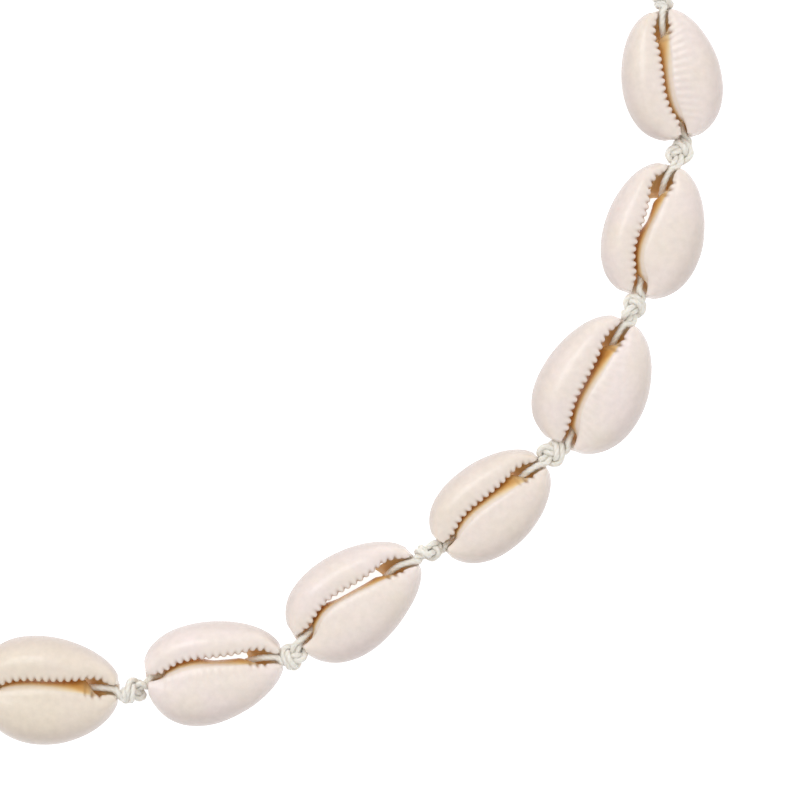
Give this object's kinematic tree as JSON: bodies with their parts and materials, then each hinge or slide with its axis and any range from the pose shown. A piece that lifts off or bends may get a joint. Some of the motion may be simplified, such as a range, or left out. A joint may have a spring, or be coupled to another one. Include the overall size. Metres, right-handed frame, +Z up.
{
  "type": "cowrie shell necklace",
  "caption": "Necklace of cowrie shells with cut-off backs, threaded mouth upwards on a doubled waxed cord with a knot between neighbours and closed by a barrel clasp.",
  "frame": {"origin": "middle of the box round the whole loop, on the surface that the necklace lies on", "axes": "+Z up, out of the mouths of the shells; +Y towards the clasp at the back of the neck; +X to the side whose shells point with their narrow ends towards the clasp"},
  "size_m": [0.171, 0.1672, 0.0064],
  "materials": {
    "shell": "gloss",
    "cord": "satin",
    "clasp": "polished"
  },
  "bodies": {
    "root": {"shell_01": "shell", "shell_02": "shell", "shell_03": "shell", "shell_04": "shell", "shell_05": "shell", "shell_06": "shell", "shell_07": "shell", "shell_08": "shell", "shell_09": "shell", "shell_10": "shell", "shell_11": "shell", "shell_12": "shell", "shell_13": "shell", "shell_14": "shell", "shell_15": "shell", "shell_16": "shell", "shell_17": "shell", "shell_18": "shell", "shell_19": "shell", "shell_20": "shell", "shell_21": "shell", "cord": "cord", "clasp": "clasp"}
  },
  "joints": []
}
